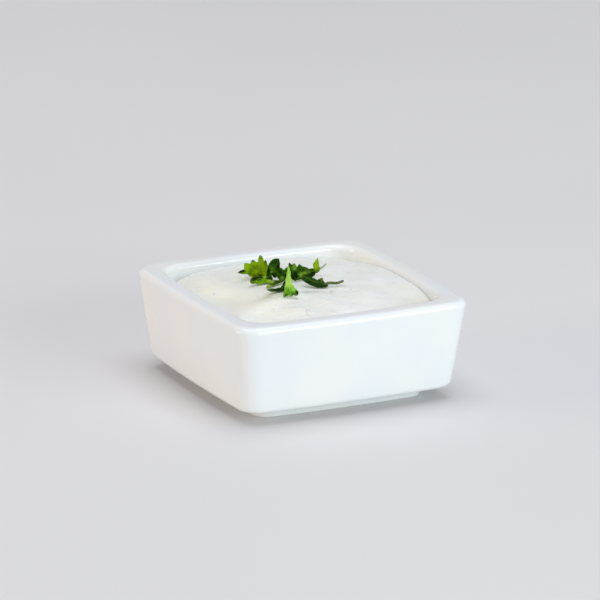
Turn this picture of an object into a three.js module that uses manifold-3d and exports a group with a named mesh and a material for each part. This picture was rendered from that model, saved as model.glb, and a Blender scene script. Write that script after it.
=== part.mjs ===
// Tzatziki in a square porcelain dip bowl, topped with torn flat-leaf parsley.
// Millimetres, +Z up. The origin is the middle of the foot's underside.
import * as THREE from "three";
import { mergeVertices } from "three/addons/utils/BufferGeometryUtils.js";
import Module from "manifold-3d";

const wasm = await Module();
wasm.setup();

// ---- Driving dimensions: the bowl ----
const BOWL_SIDE = 80; // across the rim, at the middle of its sides
const BOWL_HEIGHT = 32;
const SIDE_BOW = 0.8; // how far a side bulges between its corners
const WALL_DRAFT = 3.1; // how far the outer wall draws in from rim to base
const OUTER_CORNER = 6.9; // corner radius of the rim, seen from above
const CAVITY_CORNER = 8; // corner radius of the hollow, at the rim
const RIM_FLAT = 2.8; // flat band on top, between its two rounded edges
const RIM_ROUND = 1.8; // radius of the rim's outer and inner edge
const CAVITY_DRAFT = 0.14; // inward run of the inner wall for each mm of depth
const WALL_BELLY = 0.48; // share of the draft that the wall has reached at half height
const CORNER_SHRINK = 0.8; // fall of the hollow's corner radius for each mm of inset
const CORNER_LEAST = 2.5; // the hollow's corner radius at its floor
const BASE_ROUND = 2; // radius where the outer wall turns under
const FLOOR_THICK = 4; // from the body's underside to the floor of the hollow
const FLOOR_ROUND = 5; // fillet between the inner wall and the floor
const FOOT_HEIGHT = 3.8;
const FOOT_INSET = 7.6; // from the base's edge in to the foot's side
const FOOT_BAND = 3.2; // width of the ring that touches the table
const FOOT_RECESS = 1.2; // hollow inside the foot ring
const FOOT_ROUND = 0.6;
const RECESS_EDGE = 0.3; // bevel where the foot ring meets the recess
const RECESS_RUN = 1; // from the foot ring's inner side to the end of that bevel

// ---- Driving dimensions: the dip ----
const FIT_GAP = 0.3; // clearance between pieces that touch
const CROWN = 0.9; // the dip's middle above the rim
const DOME_FALL = 2.2; // fall of the dome from its middle to the middle of a side
const TILT_X = 0.1; // rise towards +X, at the wall
const TILT_Y = -0.7; // rise towards +Y, at the wall
const DOME_REACH = 34; // from the middle to the wall, where the falls are given
const EDGE_SINK = 0.5; // the dip's edge stays at least this far under the rim

// Spoon marks: ridges (height above 0) and furrows (below 0) along a straight line.
const SPOON_STROKES = [
  { from: [-13, -12], to: [-34, -24.5], height: 1, width: 4 },
  { from: [-7.5, -19], to: [-8, -30], height: -0.5, width: 3.4 },
  { from: [-3, -17], to: [0, -33], height: 0.5, width: 3.8 },
  { from: [-18, 18], to: [-16, 4], height: -0.6, width: 3 },
  { from: [-24, 26], to: [-27, 5], height: 0.4, width: 3 },
  { from: [9, -24], to: [24, -4], height: 0.35, width: 4 },
  { from: [14, 8], to: [27, 18], height: 0.35, width: 4 },
];
// Round hollows and lumps: a place, a height at its middle and a radius.
const SPOON_HOLLOWS = [
  { at: [-25, -4], height: -1.4, radius: 8 },
  { at: [-12.5, -26], height: 0.6, radius: 5 },
  { at: [32, -30], height: -2, radius: 10 },
  { at: [33, 25], height: -1.3, radius: 9 },
  { at: [-32, 31], height: -1.4, radius: 8 },
  { at: [2, 37], height: -0.6, radius: 14 },
  { at: [18, -14], height: -0.4, radius: 6 },
];

// ---- Driving dimensions: the parsley ----
const LEAF_THICK = 0.4;
const STEM_RADIUS = 0.5;
const THREAD_RADIUS = 0.28;
const FOLD_ROUND = 0.4; // how softly a folded leaf turns at its fold
const RIPPLE = { across: 1.5, along: 1.1, shift: 0.6 }; // a leaf's waves, in radians a mm
const TUFT_TURN = -26.8; // the tuft lies along a line turned this far from +X

// ---- How finely curves are divided ----
const BOWL_GRID = { side: 6, corner: 6 };
const DIP_GRID = { side: 14, corner: 6 };
const DIP_RINGS = 22;
const ARC_STEPS = 4;
const STEM_SIDES = 6;
const BLADE_RINGS = [0.45, 0.78, 1];

// ---- Sizes that follow from them ----
const HALF = BOWL_SIDE / 2;
const BODY_BOTTOM = FOOT_HEIGHT;
const FLOOR = BODY_BOTTOM + FLOOR_THICK;
const RIM_INNER = RIM_ROUND + RIM_FLAT + RIM_ROUND; // inset of the inner wall's top
const WALL_TOP = BOWL_HEIGHT - RIM_ROUND;
const FOOT_EDGE = WALL_DRAFT + FOOT_INSET; // inset of the foot's side
const radians = THREE.MathUtils.degToRad;
const X_AXIS = new THREE.Vector3(1, 0, 0);
const Z_AXIS = new THREE.Vector3(0, 0, 1);

// ---- Shared shapes ----

// A quarter turn or less of a circle in (inset, height), as a list of pairs.
function arc(inset, height, radius, fromDegrees, toDegrees, steps = ARC_STEPS) {
  return Array.from({ length: steps + 1 }, (_, i) => {
    const angle = radians(fromDegrees + ((toDegrees - fromDegrees) * i) / steps);
    return [inset - radius * Math.cos(angle), height + radius * Math.sin(angle)];
  });
}

// One point of a square with round corners and bowed sides, `step` points round it.
function outlinePoint(grid, step, half, corner) {
  const perQuarter = grid.side + grid.corner;
  const quarter = Math.floor(step / perQuarter);
  const index = step % perQuarter;
  const bow = (SIDE_BOW * half) / HALF;
  const straight = half - bow;
  const centre = straight - corner;
  let x, y;
  if (index < grid.side) {
    y = centre * ((2 * index) / grid.side - 1);
    x = straight + bow * (1 - (y / centre) ** 2);
  } else {
    const angle = radians((90 * (index - grid.side)) / grid.corner);
    x = centre + corner * Math.cos(angle);
    y = centre + corner * Math.sin(angle);
  }
  const turn = (quarter * Math.PI) / 2;
  return new THREE.Vector2(x, y).rotateAround(new THREE.Vector2(), turn);
}

function outlineLength(grid) {
  return 4 * (grid.side + grid.corner);
}

// A level outline at `height`, `inset` in from the rim's outermost line.
function ringAt(grid, inset, height, corner) {
  return Array.from({ length: outlineLength(grid) }, (_, step) => {
    const p = outlinePoint(grid, step, HALF - inset, corner);
    return new THREE.Vector3(p.x, p.y, height);
  });
}

// A closed skin over rings of equal length, with a fan at each end.
function skin(rings, firstCentre, lastCentre) {
  const count = rings[0].length;
  const points = [...rings.flat(), firstCentre, lastCentre];
  const first = points.length - 2;
  const last = points.length - 1;
  const faces = [];
  for (let i = 0; i < count; i++) {
    const j = (i + 1) % count;
    faces.push(first, j, i);
    for (let k = 0; k < rings.length - 1; k++) {
      const low = k * count;
      const high = low + count;
      faces.push(low + i, low + j, high + j, low + i, high + j, high + i);
    }
    const end = (rings.length - 1) * count;
    faces.push(last, end + i, end + j);
  }
  const geometry = new THREE.BufferGeometry().setFromPoints(points);
  geometry.setIndex(faces);
  return geometry;
}

function solidOf(geometry) {
  const bare = geometry.clone();
  bare.deleteAttribute("normal");
  bare.deleteAttribute("uv");
  const merged = mergeVertices(bare, 1e-4);
  return new wasm.Manifold(
    new wasm.Mesh({
      numProp: 3,
      vertProperties: new Float32Array(merged.attributes.position.array),
      triVerts: new Uint32Array(merged.index.array),
    }),
  );
}

function geometryOf(solid) {
  const mesh = solid.getMesh();
  const geometry = new THREE.BufferGeometry();
  geometry.setAttribute("position", new THREE.BufferAttribute(mesh.vertProperties, 3));
  geometry.setIndex(new THREE.BufferAttribute(mesh.triVerts, 1));
  return geometry;
}

function namedMesh(name, geometry, material) {
  geometry.computeVertexNormals();
  const mesh = new THREE.Mesh(geometry, new THREE.MeshStandardMaterial(material));
  mesh.name = name;
  return mesh;
}

// ---- The bowl: one slip-cast piece, foot and all ----

// The hollow's corner radius shrinks with its outline, down to the floor fillet's end.
function cavityCorner(inset) {
  return Math.max(CAVITY_CORNER - CORNER_SHRINK * (inset - RIM_INNER), CORNER_LEAST);
}

// Inset of the hollow's wall at a height, over the rim's rounded inner edge too.
function cavityInset(height) {
  if (height <= WALL_TOP) return RIM_INNER + CAVITY_DRAFT * (WALL_TOP - height);
  const rise = Math.min(height - WALL_TOP, RIM_ROUND);
  return RIM_INNER - RIM_ROUND + Math.sqrt(RIM_ROUND ** 2 - rise ** 2);
}

function footProfile() {
  const inner = FOOT_EDGE + FOOT_BAND;
  return [
    [inner + RECESS_RUN, FOOT_RECESS],
    [inner + RECESS_EDGE, FOOT_RECESS - RECESS_EDGE],
    [inner, FOOT_ROUND / 2],
    [inner - FOOT_ROUND / 2, 0],
    ...arc(FOOT_EDGE + FOOT_ROUND, FOOT_ROUND, FOOT_ROUND, -90, 0, 2),
    ...arc(FOOT_EDGE - FOOT_ROUND, FOOT_HEIGHT - FOOT_ROUND, FOOT_ROUND, 180, 90, 2),
  ];
}

function outerProfile() {
  const wallFoot = BODY_BOTTOM + BASE_ROUND;
  return [
    ...arc(WALL_DRAFT + BASE_ROUND, wallFoot, BASE_ROUND, -90, 0),
    [WALL_DRAFT * WALL_BELLY, (wallFoot + WALL_TOP) / 2],
    ...arc(RIM_ROUND, WALL_TOP, RIM_ROUND, 0, 90),
  ];
}

// The hollow from the rim's inner edge down to its floor, `gap` inside its surface.
function cavityProfile(gap) {
  const filletTop = FLOOR + FLOOR_ROUND;
  const filletCentre = cavityInset(filletTop) + FLOOR_ROUND;
  return [
    [cavityInset((WALL_TOP + filletTop) / 2) + gap, (WALL_TOP + filletTop) / 2],
    ...arc(filletCentre, filletTop, FLOOR_ROUND - gap, 0, -90),
  ];
}

function bowl() {
  const outside = [...footProfile(), ...outerProfile()].map(([inset, height]) =>
    ringAt(BOWL_GRID, inset, height, (OUTER_CORNER * (HALF - inset)) / HALF),
  );
  const inside = [
    ...arc(RIM_INNER - RIM_ROUND, WALL_TOP, RIM_ROUND, 90, 180),
    ...cavityProfile(0),
  ].map(([inset, height]) => ringAt(BOWL_GRID, inset, height, cavityCorner(inset)));
  const geometry = skin(
    [...outside, ...inside],
    new THREE.Vector3(0, 0, FOOT_RECESS),
    new THREE.Vector3(0, 0, FLOOR),
  );
  return namedMesh("bowl", geometry, { color: 0xe9eef0, roughness: 0.12, metalness: 0 });
}

// ---- The dip: thick yoghurt, domed by the spoon and marked by it ----

function strokeHeight({ from, to, height, width }, x, y) {
  const start = new THREE.Vector2(...from);
  const along = new THREE.Vector2(...to).sub(start);
  const here = new THREE.Vector2(x, y).sub(start);
  const share = THREE.MathUtils.clamp(here.dot(along) / along.lengthSq(), 0, 1);
  const away = here.distanceTo(along.multiplyScalar(share));
  return height * Math.exp(-((away / width) ** 2));
}

function hollowHeight({ at, height, radius }, x, y) {
  const away = Math.hypot(x - at[0], y - at[1]);
  return height * Math.exp(-((away / radius) ** 2));
}

function dipHeight(x, y) {
  const dome = CROWN - (DOME_FALL * (x * x + y * y)) / DOME_REACH ** 2;
  const tilt = (TILT_X * x + TILT_Y * y) / DOME_REACH;
  const strokes = SPOON_STROKES.reduce((sum, s) => sum + strokeHeight(s, x, y), 0);
  const hollows = SPOON_HOLLOWS.reduce((sum, s) => sum + hollowHeight(s, x, y), 0);
  return BOWL_HEIGHT + dome + tilt + strokes + hollows;
}

// A point of the dip's side against the wall, at its own height.
function wallPoint(step, height) {
  const inset = cavityInset(height) + FIT_GAP;
  const p = outlinePoint(DIP_GRID, step, HALF - inset, cavityCorner(inset));
  return new THREE.Vector3(p.x, p.y, height);
}

// The dip's edge: each point lies on the wall at the height of the surface there.
function dipEdge() {
  return Array.from({ length: outlineLength(DIP_GRID) }, (_, step) => {
    let point = wallPoint(step, WALL_TOP);
    for (let pass = 0; pass < 3; pass++) {
      const height = Math.min(dipHeight(point.x, point.y), BOWL_HEIGHT - EDGE_SINK);
      point = wallPoint(step, height);
    }
    return point;
  });
}

function dip() {
  const sides = cavityProfile(FIT_GAP)
    .reverse()
    .map(([inset, height]) => ringAt(DIP_GRID, inset, height, cavityCorner(inset)));
  const edge = dipEdge();
  sides.push(edge.map((p, step) => wallPoint(step, Math.min(WALL_TOP, p.z - EDGE_SINK))));
  const surface = [edge];
  for (let ring = 1; ring < DIP_RINGS; ring++) {
    const share = 1 - ring / DIP_RINGS;
    surface.push(
      edge.map((p) => {
        const [x, y] = [p.x * share, p.y * share];
        return new THREE.Vector3(x, y, dipHeight(x, y));
      }),
    );
  }
  const geometry = skin(
    [...sides, ...surface],
    new THREE.Vector3(0, 0, FLOOR + FIT_GAP),
    new THREE.Vector3(0, 0, dipHeight(0, 0)),
  );
  return namedMesh("dip", geometry, { color: 0xeef0ea, roughness: 0.4, metalness: 0 });
}

// ---- The parsley ----

// The flat outline of a torn leaf: its corners, anticlockwise, with a point between each
// two. Seen from the heart, each corner lies further round than the one before it.
function leafOutline(corners) {
  return corners.flatMap(([x, y], i) => {
    const corner = new THREE.Vector2(x, y);
    const next = new THREE.Vector2(...corners[(i + 1) % corners.length]);
    return [corner, corner.clone().lerp(next, 0.5)];
  });
}

// Rolls (along, up) round a cylinder of the given curvature: the sheet keeps its length.
function rolled(along, up, curvature) {
  if (Math.abs(curvature) < 1e-6) return [along, up];
  const radius = 1 / curvature - up;
  const angle = along * curvature;
  return [radius * Math.sin(angle), 1 / curvature - radius * Math.cos(angle)];
}

// A thin wavy blade: the flat outline in rings from its heart, both faces split alike.
// It may be folded along its length, and rolled across it and along it.
function bladeGeometry({ corners, fold = 0, curlAcross = 0, curlAlong = 0, wave = 0.2 }) {
  const outline = leafOutline(corners);
  const flat = [new THREE.Vector2(0, 0)];
  for (const share of BLADE_RINGS) {
    flat.push(...outline.map((p) => p.clone().multiplyScalar(share)));
  }
  const shaped = (p, up) => {
    const swing = Math.sin(RIPPLE.across * p.x + RIPPLE.shift);
    const ripple = wave * swing * Math.cos(RIPPLE.along * p.y);
    const crease = fold * (Math.hypot(p.x, FOLD_ROUND) - FOLD_ROUND);
    const [x, z] = rolled(p.x, up + ripple + crease, curlAcross);
    const [y, height] = rolled(p.y, z, curlAlong);
    return new THREE.Vector3(x, y, height);
  };
  const upper = flat.map((p) => shaped(p, LEAF_THICK / 2));
  const lower = flat.map((p) => shaped(p, -LEAF_THICK / 2));
  const count = outline.length;
  const under = flat.length;
  const faces = [];
  for (let i = 0; i < count; i++) {
    const j = (i + 1) % count;
    faces.push(0, 1 + i, 1 + j, under, under + 1 + j, under + 1 + i);
    for (let ring = 0; ring < BLADE_RINGS.length - 1; ring++) {
      const a = 1 + ring * count;
      const b = a + count;
      faces.push(a + i, b + i, b + j, a + i, b + j, a + j);
      faces.push(under + a + i, under + b + j, under + b + i);
      faces.push(under + a + i, under + a + j, under + b + j);
    }
    const rim = 1 + (BLADE_RINGS.length - 1) * count;
    faces.push(rim + i, under + rim + i, under + rim + j);
    faces.push(rim + i, under + rim + j, rim + j);
  }
  const geometry = new THREE.BufferGeometry().setFromPoints([...upper, ...lower]);
  geometry.setIndex(faces);
  return geometry;
}

// A round stalk through the given points.
function stemGeometry(points, radius) {
  const path = new THREE.CatmullRomCurve3(points.map((p) => new THREE.Vector3(...p)));
  const section = new THREE.Shape(
    Array.from({ length: STEM_SIDES }, (_, i) => {
      const angle = (2 * Math.PI * i) / STEM_SIDES;
      return new THREE.Vector2(radius * Math.cos(angle), radius * Math.sin(angle));
    }),
  );
  return new THREE.ExtrudeGeometry(section, {
    steps: 3 * (points.length - 1),
    bevelEnabled: false,
    extrudePath: path,
  });
}

// Turns a leaf so that its length points along `heading` (degrees from the tuft's line)
// and climbs by `pitch`.
function attitude(heading, pitch) {
  const level = new THREE.Quaternion().setFromAxisAngle(Z_AXIS, radians(heading - 90));
  const climb = new THREE.Quaternion().setFromAxisAngle(X_AXIS, radians(pitch));
  return level.multiply(climb);
}

// A leaf placed in the tuft. Its stalk, where it has one, is given in the tuft's own frame.
function leaf(name, { at, heading, pitch, stalk, color, ...blade }) {
  const position = new THREE.Vector3(...at);
  const quaternion = attitude(heading, pitch);
  let solid = solidOf(bladeGeometry(blade));
  if (stalk) {
    const intoLeaf = new THREE.Matrix4()
      .compose(position, quaternion, new THREE.Vector3(1, 1, 1))
      .invert();
    const tube = stemGeometry(stalk, STEM_RADIUS).applyMatrix4(intoLeaf);
    solid = solid.add(solidOf(tube));
  }
  const mesh = namedMesh(name, geometryOf(solid), { color, roughness: 0.5, metalness: 0 });
  mesh.position.copy(position);
  mesh.quaternion.copy(quaternion);
  return mesh;
}

const BRIGHT_GREEN = 0x6f9a14;
const DEEP_GREEN = 0x1f4a10;
const PALE_GREEN = 0x9ccc5a;

// Places are (along the tuft, towards its back, up). Corners are (across, along) the leaf.
const LEAVES = {
  parsley_broad: {
    at: [-13.4, 2.7, 34.45],
    heading: 90,
    pitch: 52,
    color: BRIGHT_GREEN,
    curlAcross: 0.06,
    corners: [
      [3, 2.45],
      [2.4, 3.85],
      [1.8, 3.4],
      [1.35, 5.05],
      [0.5, 5.45],
      [0.1, 3.25],
      [-0.45, 3.15],
      [-1.65, 3.85],
      [-2.3, 2.55],
      [-4.15, 2.6],
      [-4.15, 0.6],
      [-6.2, -0.5],
      [-3.2, -0.95],
      [-1.8, -1.85],
      [0.8, -1.9],
      [2.6, -2.35],
      [3.2, -0.05],
    ],
  },
  parsley_under: {
    at: [-12.8, -2.8, 33.88],
    heading: 270,
    pitch: -35,
    color: BRIGHT_GREEN,
    wave: 0.15,
    curlAlong: 0.08,
    corners: [
      [2.9, 1.5],
      [2.3, 2.4],
      [1.1, 1.9],
      [0.2, 2.5],
      [-0.9, 2.05],
      [-2.05, 2.15],
      [-3.2, 1.5],
      [-4.05, 0.95],
      [-4, -0.45],
      [-2.75, -0.9],
      [-0.9, -0.9],
      [1.45, -0.9],
      [2.6, 0.05],
    ],
  },
  parsley_folded: {
    at: [-8.45, 0.2, 35.6],
    heading: 90,
    pitch: 78,
    color: DEEP_GREEN,
    fold: 0.35,
    wave: 0.12,
    corners: [
      [1.9, 0.85],
      [1.5, 3.85],
      [-0.2, 3.35],
      [-1.3, 2],
      [-1.75, 0.6],
      [-2.1, -0.8],
      [-2.3, -2.95],
      [-1.25, -2.85],
      [-0.4, -1.35],
      [-0.1, -2.1],
      [0.7, -2.2],
      [1.6, -0.6],
    ],
  },
  parsley_strip: {
    at: [-5.2, -1.65, 35.16],
    heading: 90,
    pitch: 64,
    color: DEEP_GREEN,
    wave: 0.15,
    corners: [
      [1.15, 2.3],
      [-0.1, 1.2],
      [-1.25, 1.95],
      [-1.45, 0.8],
      [-1.1, -0.35],
      [-1.4, -2],
      [-0.2, -2.3],
      [0.75, -1.55],
      [1.15, -0.05],
    ],
  },
  parsley_curled: {
    at: [-6, -14.65, 34.04],
    heading: 90,
    pitch: 8,
    color: DEEP_GREEN,
    wave: 0.1,
    corners: [
      [1.75, 6.65],
      [1.15, 6.3],
      [0.4, 3.5],
      [-0.15, 1.4],
      [-1.9, 0.5],
      [-4.1, -0.15],
      [-4.4, -0.65],
      [-3.45, -1.6],
      [-1.6, -1.7],
      [0.7, -1.1],
      [1.6, -0.8],
    ],
  },
  parsley_sliver: {
    at: [-7.7, -6.4, 33.35],
    heading: 90,
    pitch: 8,
    color: DEEP_GREEN,
    wave: 0.1,
    corners: [
      [2.4, 1.9],
      [2.2, 2.65],
      [0.6, 2.75],
      [-1.05, 2.25],
      [-2.1, 0],
      [-2.9, -2],
      [-2.8, -3.1],
      [-1.8, -2.45],
      [-0.25, -0.8],
      [1.25, 0.6],
    ],
  },
  parsley_front: {
    at: [-3.8, -18.1, 36.2],
    heading: 90,
    pitch: 46,
    color: PALE_GREEN,
    curlAcross: -0.1,
    curlAlong: -0.045,
    wave: 0.1,
    corners: [
      [1, 1],
      [0.55, 3.5],
      [0.3, 5.9],
      [-0.1, 7.7],
      [-0.4, 5.9],
      [-0.6, 3.5],
      [-0.9, 1],
      [-1.2, -1.4],
      [-1.5, -3.8],
      [-0.7, -3.5],
      [0.1, -3],
      [0.95, -3.5],
      [1.5, -2.8],
      [2, -3.2],
      [2.75, -3.05],
      [3.1, -2],
      [2.7, -1.3],
      [1.8, -0.6],
    ],
  },
  parsley_behind: {
    at: [-2.6, -2, 35.67],
    heading: 90,
    pitch: 66,
    color: DEEP_GREEN,
    wave: 0.12,
    corners: [
      [1.35, -0.15],
      [1.2, 1.9],
      [0.45, 3],
      [-0.25, 2.4],
      [-1.2, 3.1],
      [-1.25, 0.6],
      [-1.2, -1.55],
      [0.05, -2.15],
      [1.1, -2.55],
    ],
  },
  parsley_crinkled: {
    at: [0.45, -0.85, 35.19],
    heading: 90,
    pitch: 54,
    color: DEEP_GREEN,
    wave: 0.3,
    curlAcross: -0.08,
    corners: [
      [3.85, 1.2],
      [1.95, 1.5],
      [0.55, 2.5],
      [-0.15, 2.25],
      [-1, 2.95],
      [-1.6, 2.1],
      [-2.3, 1.45],
      [-2.4, -0.5],
      [-1.85, -2.25],
      [-0.6, -1.95],
      [0.45, -2.25],
      [1.5, -1.75],
      [2.75, -1.25],
      [3.9, -0.2],
    ],
  },
  parsley_upright: {
    at: [4.5, 4.75, 35.86],
    heading: 90,
    pitch: 74,
    color: BRIGHT_GREEN,
    wave: 0.08,
    fold: 0.3,
    stalk: [
      [4.4, 4.35, 34.56],
      [4, 4.15, 33.86],
      [2.9, 4.35, 33.46],
    ],
    corners: [
      [0.9, 0.55],
      [0.5, 2.65],
      [-0.25, 1.45],
      [-0.9, 0.65],
      [-0.65, -0.55],
      [0, -1.85],
      [0.8, -1.1],
    ],
  },
  parsley_long: {
    at: [4.2, -8.7, 34.63],
    heading: 90,
    pitch: 40,
    color: DEEP_GREEN,
    wave: 0.15,
    curlAcross: -0.05,
    stalk: [
      [7.1, -8.9, 34.3],
      [8.9, -7.6, 34.2],
      [10.9, -7.5, 34.15],
      [12.25, -5.9, 34.1],
      [13, -4.8, 34.05],
    ],
    corners: [
      [3.75, -1.05],
      [3.1, 0.1],
      [2.6, 0.9],
      [2.25, 1.85],
      [0.8, 0.75],
      [-0.6, 1.7],
      [-2.15, 2.1],
      [-3.7, 2.5],
      [-3.55, 0.65],
      [-2.1, -0.6],
      [-0.55, -1.55],
      [1.1, -1.9],
      [2.9, -1.7],
    ],
  },
};

// A bare thread of stalk that stands out to the right of the tuft.
const THREAD_PATH = [
  [5.6, 4.15, 35.16],
  [6.6, 4.45, 35.71],
  [7.8, 5.05, 36.66],
];

function parsley() {
  const tuft = new THREE.Group();
  tuft.rotation.z = radians(TUFT_TURN);
  for (const [name, shape] of Object.entries(LEAVES)) tuft.add(leaf(name, shape));
  tuft.add(
    namedMesh("parsley_thread", stemGeometry(THREAD_PATH, THREAD_RADIUS), {
      color: PALE_GREEN,
      roughness: 0.5,
      metalness: 0,
    }),
  );
  return tuft;
}

const tzatziki = new THREE.Group();
tzatziki.add(bowl(), dip(), parsley());
export default tzatziki;
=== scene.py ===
import math
import random

import bpy
import numpy as np
from mathutils import Matrix, Quaternion, Vector, noise


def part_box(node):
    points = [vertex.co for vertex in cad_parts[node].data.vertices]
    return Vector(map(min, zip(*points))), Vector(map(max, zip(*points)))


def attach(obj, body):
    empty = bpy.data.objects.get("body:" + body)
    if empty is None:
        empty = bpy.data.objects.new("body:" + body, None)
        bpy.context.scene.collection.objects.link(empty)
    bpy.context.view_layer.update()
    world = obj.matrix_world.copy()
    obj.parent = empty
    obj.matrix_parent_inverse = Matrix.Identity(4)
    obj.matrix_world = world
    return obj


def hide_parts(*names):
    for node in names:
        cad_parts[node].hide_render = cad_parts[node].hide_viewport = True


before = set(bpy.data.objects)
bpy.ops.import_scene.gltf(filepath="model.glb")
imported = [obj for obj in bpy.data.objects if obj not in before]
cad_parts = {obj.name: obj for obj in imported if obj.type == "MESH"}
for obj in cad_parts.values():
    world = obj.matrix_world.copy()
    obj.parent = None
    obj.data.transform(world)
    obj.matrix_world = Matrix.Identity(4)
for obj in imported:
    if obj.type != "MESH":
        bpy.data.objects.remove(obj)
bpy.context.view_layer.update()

# Tzatziki in a square porcelain dip bowl, topped with torn flat-leaf parsley. Metres,
# +Z up, with the origin in the middle of the foot's underside.


# ----------------------------------------
# The bowl: one slip-cast piece of white porcelain, square with bowed sides, a thick
# rounded rim and a foot ring. It is dipped in clear glaze and fired standing on the foot,
# whose underside is wiped bare so that it doesn't stick to the kiln shelf.
MM = 0.001
BODY = "root"
bowl_low, bowl_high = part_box("bowl")
BOWL_HALF = bowl_high.x
BOWL_HEIGHT = bowl_high.z
SIDE_BOW = 0.8 * MM
WALL_DRAFT = 3.1 * MM
OUTER_CORNER = 6.9 * MM
CAVITY_CORNER = 8 * MM
CORNER_SHRINK = 0.8  # fall of the hollow's corner radius with its inset
CORNER_LEAST = 2.5 * MM
RIM_FLAT = 2.8 * MM
RIM_ROUND = 1.8 * MM
CAVITY_DRAFT = 0.14
BASE_ROUND = 2 * MM
FLOOR_THICK = 4 * MM
FLOOR_ROUND = 5 * MM
FOOT_HEIGHT = 3.8 * MM
FOOT_INSET = 7.6 * MM
FOOT_BAND = 3.2 * MM
FOOT_RECESS = 1.2 * MM
FOOT_ROUND = 0.6 * MM
FOOT_EASE = 0.3 * MM  # slope between the foot's inner side and the underside
RECESS_RUN = 1 * MM
MIDDLE_DRAFT = 0.48  # share of its draft that the outer wall has at half height
BOWL_STEPS = {"side": 26, "corner": 16}
WELD_GAP = 0.002 * MM
# Colours of the glaze where it is thin, thick and pooled, and of the bare biscuit.
GLAZE_THIN, GLAZE_THICK, GLAZE_POOLED = (243, 243, 241), (238, 241, 243), (226, 233, 238)
BISCUIT_TONES = (226, 219, 206), (239, 234, 224)
POOL_REACH = 5 * MM  # above the foot
BARE_TOP = 0.05 * MM, 0.3 * MM  # where the glaze starts and where it covers fully

CAVITY_FLOOR = FOOT_HEIGHT + FLOOR_THICK
RIM_INNER = RIM_ROUND + RIM_FLAT + RIM_ROUND
WALL_TOP = BOWL_HEIGHT - RIM_ROUND


def arc(inset, height, radius, start, end, steps=8):
    """Points (inset, height) on a circle. 0 degrees faces outwards and 90 faces up."""
    angles = [math.radians(a) for a in np.linspace(start, end, steps + 1)]
    return [(inset - radius * math.cos(a), height + radius * math.sin(a)) for a in angles]


def cavity_inset(height):
    """How far in the hollow's wall is at a height, over the rim's rounded edge too."""
    if height <= WALL_TOP:
        return RIM_INNER + CAVITY_DRAFT * (WALL_TOP - height)
    rise = min(height - WALL_TOP, RIM_ROUND)
    return RIM_INNER - RIM_ROUND + math.sqrt(RIM_ROUND**2 - rise**2)


def cavity_corner(inset):
    return max(CAVITY_CORNER - CORNER_SHRINK * (inset - RIM_INNER), CORNER_LEAST)


def cavity_profile(gap=0.0):
    """The hollow from its floor up to the middle of its wall, gap inside its surface."""
    fillet_top = CAVITY_FLOOR + FLOOR_ROUND
    fillet_centre = cavity_inset(fillet_top) + FLOOR_ROUND
    middle = (WALL_TOP + fillet_top) / 2
    round_floor = arc(fillet_centre, fillet_top, FLOOR_ROUND - gap, -90, 0)
    return [*round_floor, (cavity_inset(middle) + gap, middle)]


def supported(points, reach=0.35 * MM, longest=3 * MM):
    """The same line with points close to both ends of its long stretches, so that the
    rounded edges beside them stay crisp under smooth shading."""
    made = [points[0]]
    for start, end in zip(np.array(points), np.array(points[1:])):
        length = math.hypot(*(end - start)[:2])
        if length > longest:
            shares = (reach / length, 0.25, 0.5, 0.75, 1 - reach / length)
            made += [start + (end - start) * share for share in shares]
        made.append(end)
    return made


def bowl_profile():
    """(inset, height, corner radius) from the middle of the hollow's floor over the rim
    and down the outside to the middle of the underside."""
    wall_foot = FOOT_HEIGHT + BASE_ROUND
    foot_edge = WALL_DRAFT + FOOT_INSET
    foot_inner = foot_edge + FOOT_BAND
    inside = [*cavity_profile(), *arc(RIM_INNER - RIM_ROUND, WALL_TOP, RIM_ROUND, 180, 90)]
    outside = [
        *arc(RIM_ROUND, WALL_TOP, RIM_ROUND, 90, 0),
        (WALL_DRAFT * MIDDLE_DRAFT, (wall_foot + WALL_TOP) / 2),
        *arc(WALL_DRAFT + BASE_ROUND, wall_foot, BASE_ROUND, 0, -90),
        *arc(foot_edge - FOOT_ROUND, FOOT_HEIGHT - FOOT_ROUND, FOOT_ROUND, 90, 180, 4),
        *arc(foot_edge + FOOT_ROUND, FOOT_ROUND, FOOT_ROUND, 0, -90, 4),
        *arc(foot_inner - FOOT_ROUND / 2, FOOT_ROUND / 2, -FOOT_ROUND / 2, 90, 0, 3),
        (foot_inner + FOOT_EASE, FOOT_RECESS - FOOT_EASE),
        (foot_inner + RECESS_RUN, FOOT_RECESS),
    ]
    line = [(BOWL_HALF, CAVITY_FLOOR, 0)]
    line += [(inset, height, cavity_corner(inset)) for inset, height in inside]
    for inset, height in outside:
        line.append((inset, height, OUTER_CORNER * (1 - inset / BOWL_HALF)))
    line.append((BOWL_HALF, FOOT_RECESS, 0))
    return supported(line)


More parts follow.
